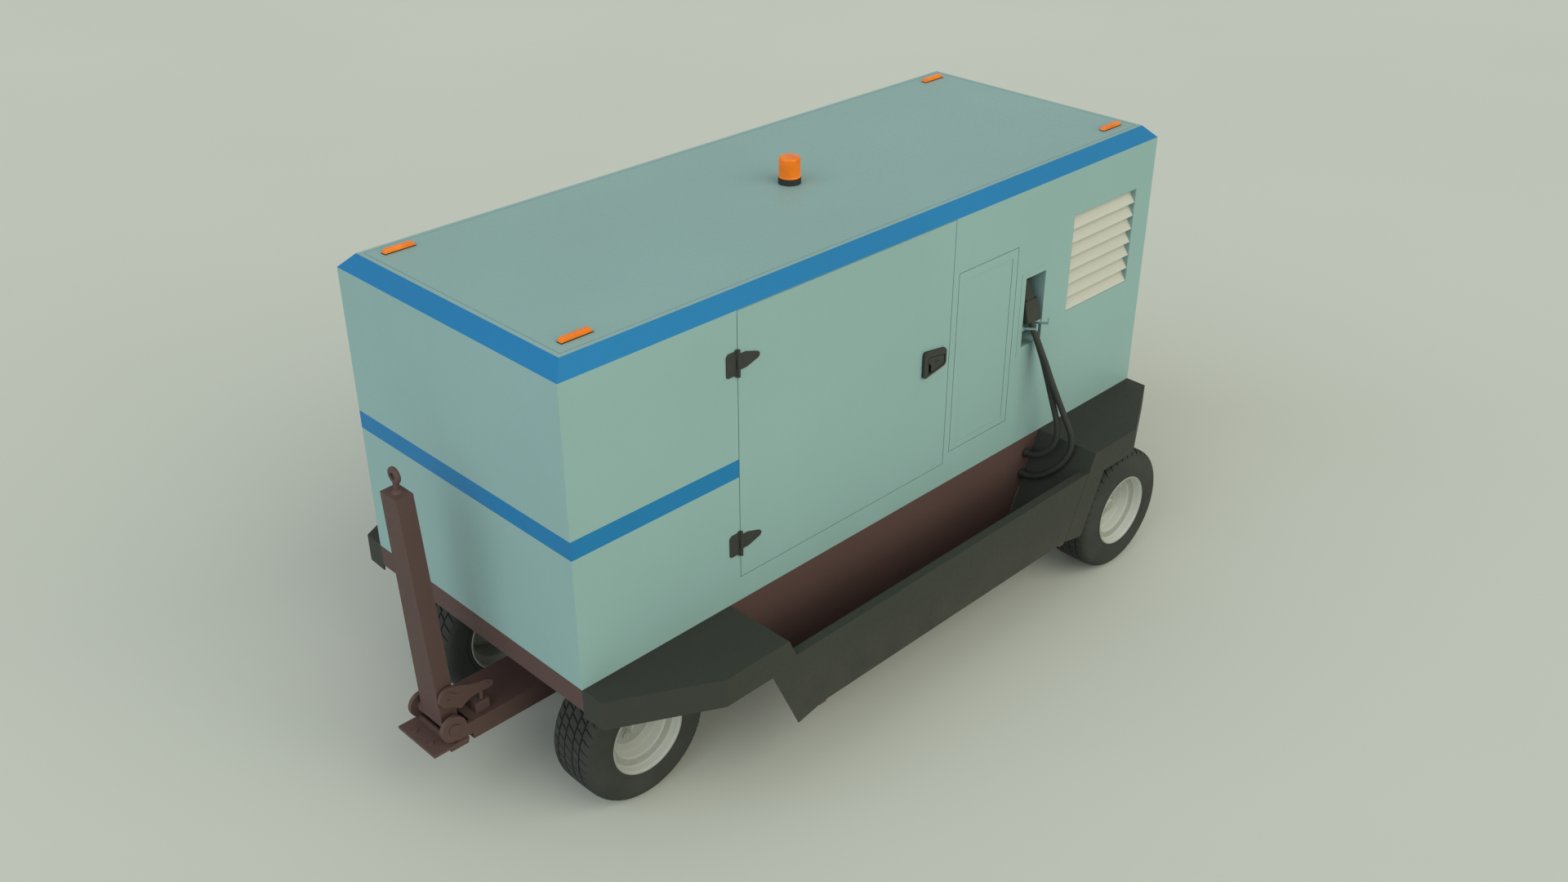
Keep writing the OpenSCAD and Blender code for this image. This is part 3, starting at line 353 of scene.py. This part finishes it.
def bare_metal(name, color, roughness=0.38):
    """Unpainted steel with a drawn grain and thin brown stains."""
    s = Shader(name)
    fine = s.noise(160, 4, 0.65, (1.0, 1.0, 0.15))
    base = s.mix(s.ramp(s.noise(9, 5, 0.6), 0.35, 0.7), tint(color, 0.7), color)
    base = s.mix(s.ramp(s.noise(28, 5, 0.7), 0.6, 0.8, 0.0, 0.35), base, RUST)
    s.bump((fine, 0.12, 0.0003))
    return s.done(base, s.ramp(fine, 0.3, 0.7, roughness - 0.08, roughness + 0.1), 0.85)


def lens(name, color):
    """Moulded orange lens that scatters a little light, under a smooth skin."""
    s = Shader(name)
    base = s.mix(s.ramp(s.noise(14, 3), 0.3, 0.7), tint(color, 0.85), tint(color, 1.1))
    fine = s.noise(300, 2)
    s.bump((fine, 0.04, 0.0003))
    return s.done(base, s.ramp(fine, 0.3, 0.7, 0.18, 0.28), Subsurface_Weight=0.15, Subsurface_Scale=0.02,
                  Coat_Weight=0.2, Coat_Roughness=0.08)


def plastic(name, color, roughness=0.5):
    """Moulded plastic with a fine texture."""
    s = Shader(name)
    fine = s.noise(380, 3, 0.6)
    base = s.mix(s.ramp(s.noise(12, 4), 0.3, 0.7), tint(color, 0.88), tint(color, 1.12))
    base = s.mix(s.ramp(fine, 0.5, 0.8, 0.0, 0.25), base, tint(color, 1.5))
    s.bump((fine, 0.15, 0.0003))
    return s.done(base, s.ramp(fine, 0.3, 0.7, roughness - 0.06, roughness + 0.08))


# painted shade: the dark grey laid on the rim faces that look along the axle
AXLE_FACE_SHADE = rgb(96, 99, 92)


def rim_paint():
    """Pale grey enamel, with painted shade darkening the faces that look along the axle."""
    s = Shader("rim_enamel")
    color = rgb(190, 193, 185)
    fine = s.noise(90, 5, 0.6)
    base = s.mix(s.ramp(s.noise(6, 4), 0.3, 0.7), tint(color, 0.96), tint(color, 1.03))
    facing = s.math("ABSOLUTE", s.axis("Y", s.normal()))
    # painted shade: faces whose normal runs along the axle are darkened, standing in for the weaker light on
    # them
    axle_face_shade_mask = s.math("MULTIPLY", s.ramp(facing, 0.45, 0.9), s.ramp(fine, 0.3, 0.7, 0.62, 0.72))
    base = s.mix(axle_face_shade_mask, base, AXLE_FACE_SHADE)
    s.bump((s.noise(300, 3), 0.05, 0.0004))
    return s.done(base, s.ramp(fine, 0.3, 0.7, 0.36, 0.5))


MATERIALS = {
    "cabinet_paint": cabinet_paint(),
    "chassis_paint": paint("chassis_primer", rgb(84, 64, 60), roughness=0.62, spread=0.05, peel=0.12,
                           dust=0.08, wear_and_edge_highlight=0.35),
    "fender_paint": paint("fender_enamel", rgb(50, 52, 46), roughness=0.6, spread=0.07, peel=0.1,
                          dust=0.12, dust_top=0.62, wear_and_edge_highlight=0.4),
    "black_metal": paint("black_powder", rgb(52, 54, 49), roughness=0.55, spread=0.08, peel=0.2, wear_and_edge_highlight=0.4),
    "black_plastic": plastic("black_moulding", rgb(42, 42, 40)),
    "cable_rubber": rubber("cable_jacket", rgb(47, 49, 45), roughness=0.6),
    "plug_rubber": rubber("plug_moulding", rgb(46, 48, 43), roughness=0.6),
    "tyre_rubber": rubber("tyre_rubber", rgb(50, 52, 48), roughness=0.82, grain=190),
    "rim_paint": rim_paint(),
    "blade_paint": paint("blade_enamel", rgb(186, 186, 174), roughness=0.5, spread=0.03, peel=0.05),
    "orange_lens": lens("orange_lens", rgb(238, 122, 14)),
    "engine_paint": paint("engine_casting", rgb(92, 112, 98), roughness=0.6, spread=0.1, peel=0.6, wear_and_edge_highlight=0.4),
    "alternator_paint": paint("alternator_enamel", rgb(92, 112, 124), roughness=0.5, spread=0.06, peel=0.3),
    "radiator_core": paint("radiator_coating", rgb(40, 41, 41), roughness=0.6, spread=0.1, peel=0.3),
    "fan_plastic": plastic("fan_nylon", rgb(205, 204, 194)),
    "bare_steel": bare_metal("bare_steel", rgb(150, 148, 142)),
    "tank_plastic": plastic("tank_plastic", rgb(40, 41, 40)),
    "box_paint": paint("box_enamel", rgb(168, 172, 166), roughness=0.5, spread=0.04, peel=0.1),
}
MATERIALS["band_paint"] = MATERIALS["cabinet_paint"]
for name, node in NODES.items():
    dress(node, SLOT[name])

# ------------------------------------------------------------------ revolved wheels

# the axle's place along and across the trailer, and the side that the wheel's outer face looks to
WHEELS = {
    "front_near": ((348, 191), -1),
    "front_far": ((348, 1109), 1),
    "rear_near": ((2985, -176), -1),
    "rear_far": ((2985, 1476), 1),
}
AXLE_Z = -460


def wheel_matrix(wheel):
    """From wheel space, with the axle along z and the outer face up, to the wheel's place."""
    (x, y), side = WHEELS[wheel]
    tilt = Matrix.Rotation(math.radians(90 if side < 0 else -90), 4, "X")
    return Matrix.Translation(at(x, y, AXLE_Z)) @ tilt


def fillet(points, radius, steps=3):
    """Rounds the corners of an open polyline of (r, z) points."""
    out = [tuple(Vector(points[0]))]
    for a, b, c in zip(points, points[1:], points[2:]):
        a, b, c = Vector(a), Vector(b), Vector(c)
        cut = min(radius, (a - b).length * 0.45, (c - b).length * 0.45)
        p, q = b + (a - b).normalized() * cut, b + (c - b).normalized() * cut
        out += [tuple(p.lerp(b, t).lerp(b.lerp(q, t), t)) for t in [k / steps for k in range(steps + 1)]]
    return out + [tuple(Vector(points[-1]))]


def spot(work, r, t, z):
    """A new vertex at radius r, angle t and height z (millimetres)."""
    return work.verts.new((r * math.cos(t) / 1000, r * math.sin(t) / 1000, z / 1000))


def bridge(work, rings, closed=False):
    """Joins each ring of vertices to the next with quads, and the last to the first if closed."""
    for low, high in list(zip(rings, rings[1:])) + ([(rings[-1], rings[0])] if closed else []):
        for i in range(len(low)):
            j = (i + 1) % len(low)
            work.faces.new((low[i], low[j], high[j], high[i]))


def revolve(work, profile, count=128, closed=False):
    """Adds a surface of revolution about z: profile is (r, z) in millimetres."""
    angles = [2 * math.pi * i / count for i in range(count)]
    bridge(work, [[spot(work, r, t, z) for t in angles] for r, z in profile], closed)


def merge(target, extra, matrix=None):
    """Moves the contents of one bmesh into another."""
    made = to_mesh(extra, "merge", matrix)
    target.from_mesh(made)
    bpy.data.meshes.remove(made)


AXIS = 0.01          # how far from the axis a profile that reaches it stops, in millimetres

# Tyre section: distance from the middle, then radius, in millimetres.
CROWN = [(0, 300), (18, 300), (54, 299.4), (66, 299), (84, 297), (97, 291.5), (106, 282), (111, 271)]
TREAD_ROWS = [0, 7, 14, 36, 46, 72, 80, 88, 94, 99, 103.5, 107.5, 111]
SIDEWALL = [(114.2, 258), (115.6, 240), (116, 222), (116, 200), (115.2, 190), (113.6, 187), (115, 184),
            (113.5, 175), (110, 169), (104, 165), (92, 165)]
LINER = [(88, 178), (92, 215), (88, 252), (70, 272), (35, 279)]
LINER_CENTRE = (0, 281)
LONG_GROOVES = [(20.5, 25.5), (58.5, 64.5)]      # from and to, on each side of the middle
GROOVE_DEPTH = 7.5
GROOVE_WALL = 1.2                                # how far a long groove's wall leans
SHOULDER = 111                                   # where the tread ends and the cross grooves run out
BEAD_INNER = 90                                  # rows beyond this turn with the shoulder's skew
BLOCKS = 44                                      # tread blocks round the tyre
BLOCK_COLUMNS = [0.0, 0.055, 0.1, 0.3, 0.5, 0.7, 0.9, 0.945]     # share of a block's length
CROSS_GROOVE = (0.056, 0.944)                    # a cross groove lies outside these shares


def crown_radius(y):
    """The tread's radius at a distance y from the middle."""
    y = abs(y)
    for (y0, r0), (y1, r1) in zip(CROWN, CROWN[1:]):
        if y <= y1:
            return r0 + (r1 - r0) * (y - y0) / (y1 - y0)
    return CROWN[-1][1]


def cross_skew(y):
    """Where the cross grooves run, in blocks: they curve on the shoulders and step at each long groove."""
    a, side = abs(y), math.copysign(1, y)
    if a < 23:
        return 0.30 * y / 23
    if a < 61.5:
        return side * (0.52 + 0.42 * (a - 23) / 38)
    return side * (0.18 + 0.75 * ((a - 61.5) / 50) ** 1.5)


def tyre_bmesh():
    """Carcass and tread in one closed grid. Rows follow the section, columns follow the blocks."""
    half = list(TREAD_ROWS)
    for a, b in LONG_GROOVES:
        half += [a - GROOVE_WALL, a, b, b + GROOVE_WALL]
    half.sort()
    section = [(y, crown_radius(y), True) for y in [-y for y in reversed(half[1:])] + half]
    section += [(y, r, False) for y, r in SIDEWALL + LINER + [LINER_CENTRE]]
    section += [(-y, r, False) for y, r in reversed(SIDEWALL + LINER)]

    work = bmesh.new()
    rings = []
    for y, radius, is_tread in section:
        if is_tread:
            skew = cross_skew(y)
        else:
            skew = cross_skew(math.copysign(SHOULDER, y)) if abs(y) > BEAD_INNER else 0
        long_cut = is_tread and any(a - 0.1 <= abs(y) <= b + 0.1 for a, b in LONG_GROOVES)
        fade = 1.0 if abs(y) < 96 else max(0.0, (SHOULDER - abs(y)) / 15)
        ring = []
        for block in range(BLOCKS):
            for share in BLOCK_COLUMNS:
                cut = 0
                if long_cut:
                    cut = GROOVE_DEPTH
                elif is_tread and not CROSS_GROOVE[0] < share < CROSS_GROOVE[1]:
                    cut = GROOVE_DEPTH * 0.85 * fade
                ring.append(spot(work, radius - cut, 2 * math.pi * (block + share + skew) / BLOCKS, y))
        rings.append(ring)
    bridge(work, rings, closed=True)
    bmesh.ops.recalc_face_normals(work, faces=work.faces)
    return work


# Rim, hub and valve sections: radius, then distance outwards from the disc, in millimetres.
RIM_FACE = [(165, 103), (171.5, 105), (173, 108.5), (173, 112), (171, 114.6), (167.5, 114), (165, 111),
            (162, 108), (159.5, 92), (157, 78), (153, 74.5), (131, 66.5), (127.5, 62), (124, 46), (120, 28),
            (116, 23.5), (101, 10), (96, 4.5), (90, 3.2), (40, 3.2), (37, 3.2)]
RIM_BACK = [(37, -4.8), (88, -4.8), (95, -3), (103, 3), (118, 16), (123.5, 22), (128, 44), (131, 58),
            (138, 61), (138, -60), (159, -80), (162, -111), (169, -115), (173, -112), (173, -105), (165, -103),
            (165, -78), (143, -62), (143, 62), (165, 78)]
HUB = [(22.1, -66.6), (70, -66.6), (70, -5.2), (40, -5.2), (36.8, -3), (36.8, 4), (34, 6), (30, 8),
       (29.5, 46), (26, 50.5), (AXIS, 50.9)]
HUB_BORE = [(22.1, -66.6), (22.1, 42), (AXIS, 42)]
VALVE = [(AXIS, 30), (2.6, 30), (2.8, 26), (3.6, 25), (3.6, 8), (5.5, 4), (5.5, 0), (AXIS, 0)]
VALVE_FOOT = (0.118, 0, 0.041)       # metres, before it is turned round the axle
VALVE_LEAN, VALVE_TURN = math.radians(-24), math.radians(62)
NUTS = 5
NUT_CIRCLE, NUT_SEAT = 0.056, 0.0031     # metres: the circle that they stand on, and the disc's outer face
FIRST_NUT = 18                           # degrees


def nut(target, matrix, corner, height, washer):
    """A chamfered hexagon nut on its washer, with the end of its stud, standing on z = 0."""
    part = bmesh.new()
    low, stud, tip = 2.4, corner * 0.45, height + 6.2
    revolve(part, [(AXIS, 0), (washer, 0), (washer, 1.6), (washer - 1, low), (AXIS, low)], 32)
    levels = ((low, 0.93), (low + 1.2, 1.0), (height - 1.6, 1.0), (height, 0.87))
    rings = [[spot(part, corner * k, math.radians(60 * i), z) for i in range(6)] for z, k in levels]
    bridge(part, rings)
    part.faces.new(rings[0][::-1])
    part.faces.new(rings[-1])
    revolve(part, [(stud, height - 0.5), (stud, height + 5), (stud - 1, tip), (AXIS, tip)], 20)
    merge(target, part, matrix)


def rim_bmesh():
    """The pressed rim with its disc, the hub with its cap, the wheel nuts and the valve."""
    work = bmesh.new()
    revolve(work, fillet(RIM_FACE, 2.2) + RIM_BACK, closed=True)
    revolve(work, fillet(HUB, 2), 64)
    revolve(work, HUB_BORE, 64)
    for k in range(NUTS):
        t = math.radians(360 / NUTS * k + FIRST_NUT)
        seat = Matrix.Translation((NUT_CIRCLE * math.cos(t), NUT_CIRCLE * math.sin(t), NUT_SEAT))
        nut(work, seat, corner=11, height=15, washer=15.5)
    valve = bmesh.new()
    revolve(valve, VALVE, 16)
    lean = Matrix.Translation(VALVE_FOOT) @ Matrix.Rotation(VALVE_LEAN, 4, "Y")
    merge(work, valve, Matrix.Rotation(VALVE_TURN, 4, "Z") @ lean)
    bmesh.ops.recalc_face_normals(work, faces=work.faces)
    return work


for wheel in WHEELS:
    place = wheel_matrix(wheel)
    tyre, rim = to_mesh(tyre_bmesh(), "tyre", place), to_mesh(rim_bmesh(), "rim", place)
    mesh_piece("tyre_%s_tread" % wheel, tyre, "tyre_" + wheel, sharp_above=38)
    mesh_piece("rim_%s_pressing" % wheel, rim, "rim_" + wheel, sharp_above=32)

# ------------------------------------------------------------------ CAD nodes with rounded edges

# the width of each node's rounded edges, in millimetres
EDGE_ROUNDING = {
    "chassis_frame": 2, "floor_plate": 0.8, "tow_bar": 5, "tow_eye": 0.8, "tow_pivot_pin": 1.5,
    "drawbar": 3, "foot_plate": 1.8, "brake_crank": 1.8, "brake_box": 2, "brake_plunger": 1,
    "fenders_near": 1.6, "fenders_far": 1.6, "tray_near": 1.6, "tray_far": 1.6, "steering_frame": 2.5,
    "turntable": 2, "rear_axle": 2, "rear_springs": 1.2, "latch_housing": 2.6, "latch_paddle": 1.4,
    "door_hinge_leaves": 1.2, "door_hinge_straps": 1.2, "control_hatch": 0.8, "plug_pocket": 0.7,
    "plug_prongs": 0.8, "louvre_frame": 0.8, "louvre_blades": 0.9, "outlet_grille": 0.9,
    "beacon_base": 2, "marker_bases": 0.8, "marker_lenses": 1.6, "cable_glands": 1.5, "door_panel": 0.7,
    "control_box": 1.6, "engine": 4, "alternator": 4, "radiator": 2.5, "battery": 4, "fuel_tank": 8,
    "exhaust_muffler": 3, "cooling_fan": 1.5,
}
for name, width in EDGE_ROUNDING.items():
    rounded(name, width)

# ------------------------------------------------------------------ cables and plug

# Each route starts at its gland and runs on inside the plug from the last point but one.
CABLE_DIAMETER = 0.028
CABLE_A = [(2567, 0, -85), (2567, -26, -85), (2568, -58, -78), (2572, -90, -60), (2579, -118, -31),
           (2586, -138, 7), (2589, -147, 52), (2588, -144, 102), (2583, -132, 157), (2579, -113, 215),
           (2573, -94, 280), (2566, -75, 345), (2558, -56, 410), (2550, -37, 465), (2542, -18, 518),
           (2536, -5, 556), (2533, 4, 580), (2530, 24, 645)]
CABLE_B = [(2545, 0, -185), (2545, -26, -185), (2547, -66, -178), (2553, -106, -160), (2566, -145, -130),
           (2586, -178, -92), (2606, -200, -46), (2618, -209, 0), (2619, -205, 48), (2611, -191, 100),
           (2599, -172, 152), (2585, -151, 210), (2570, -128, 275), (2555, -106, 340), (2541, -85, 405),
           (2528, -63, 465), (2519, -41, 520), (2513, -23, 562), (2511, -16, 580), (2508, 5, 645)]


def cable(name, route, node):
    """A round cable on a smooth curve through a route."""
    curve = bpy.data.curves.new(name, "CURVE")
    curve.dimensions = "3D"
    curve.bevel_depth = CABLE_DIAMETER / 2
    curve.bevel_resolution = 6
    curve.resolution_u = 6
    curve.use_fill_caps = True
    spline = curve.splines.new("BEZIER")
    spline.bezier_points.add(len(route) - 1)
    for point, place in zip(spline.bezier_points, route):
        point.co = at(*place)
        point.handle_left_type = point.handle_right_type = "AUTO"
    return link(bpy.data.objects.new(name, curve), "cable_rubber", "chassis", node)


plug = rounded("output_plug", 3)
cable_a = cable("cable_a", CABLE_A, "output_cable_a")
cable_b = cable("cable_b", CABLE_B, "output_cable_b")

# ------------------------------------------------------------------ beacon lens

DOME = [(30, 0), (45.5, 0), (46, 2), (46, 5), (44.6, 6.5), (44.2, 78), (42, 84), (34, 86.6), (AXIS, 87)]
DOME_SEAT = [(30, 0), (30, 1), (AXIS, 1)]
beacon = bmesh.new()
revolve(beacon, fillet(DOME, 3, 4), 96)
revolve(beacon, DOME_SEAT, 96)
bmesh.ops.recalc_face_normals(beacon, faces=beacon.faces)
beacon_place = Matrix.Translation(at(1687, 650, 1296))
mesh_piece("beacon_dome", to_mesh(beacon, "beacon", beacon_place), "beacon_lens", sharp_above=35)

# ------------------------------------------------------------------ floor and light

FLOOR_HALF = 60

floor_shader = Shader("studio_floor")
patch = floor_shader.ramp(floor_shader.noise(0.25, 3), 0.3, 0.7)
tone = floor_shader.mix(patch, rgb(194, 198, 188), rgb(197, 200, 191))
floor_shader.bump((floor_shader.noise(30, 4), 0.02, 0.001))
floor_mesh = bpy.data.meshes.new("floor")
floor_corners = [(x * FLOOR_HALF, y * FLOOR_HALF, 0) for x, y in ((-1, -1), (1, -1), (1, 1), (-1, 1))]
floor_mesh.from_pydata(floor_corners, [], [(0, 1, 2, 3)])
floor_mesh.materials.append(floor_shader.done(tone, 0.95, Specular_IOR_Level=0.1))
floor = bpy.data.objects.new("floor", floor_mesh)
scene.collection.objects.link(floor)

world = bpy.data.worlds.new("studio")
scene.world = world
world.use_nodes = True
world.node_tree.nodes["Background"].inputs["Color"].default_value = (0.96, 1.0, 0.98, 1)
world.node_tree.nodes["Background"].inputs["Strength"].default_value = 0.50


def soft_sun(name, direction, strength, color, spread):
    """A far light spread degrees wide: direction points from the object to the light."""
    light = bpy.data.objects.new(name, bpy.data.lights.new(name, "SUN"))
    light.data.angle = math.radians(spread)
    light.data.energy = strength
    light.data.color = color
    light.matrix_world = Vector(direction).to_track_quat("Z", "Y").to_matrix().to_4x4()
    scene.collection.objects.link(light)


soft_sun("near_side_light", direction=(0.12, -1.0, 0.56), strength=1.85, color=(1.0, 0.975, 0.81), spread=64)
soft_sun("front_light", direction=(-1.0, 0.05, 0.42), strength=1.55, color=(0.87, 0.96, 1.05), spread=70)
scene.view_settings.view_transform = "Standard"
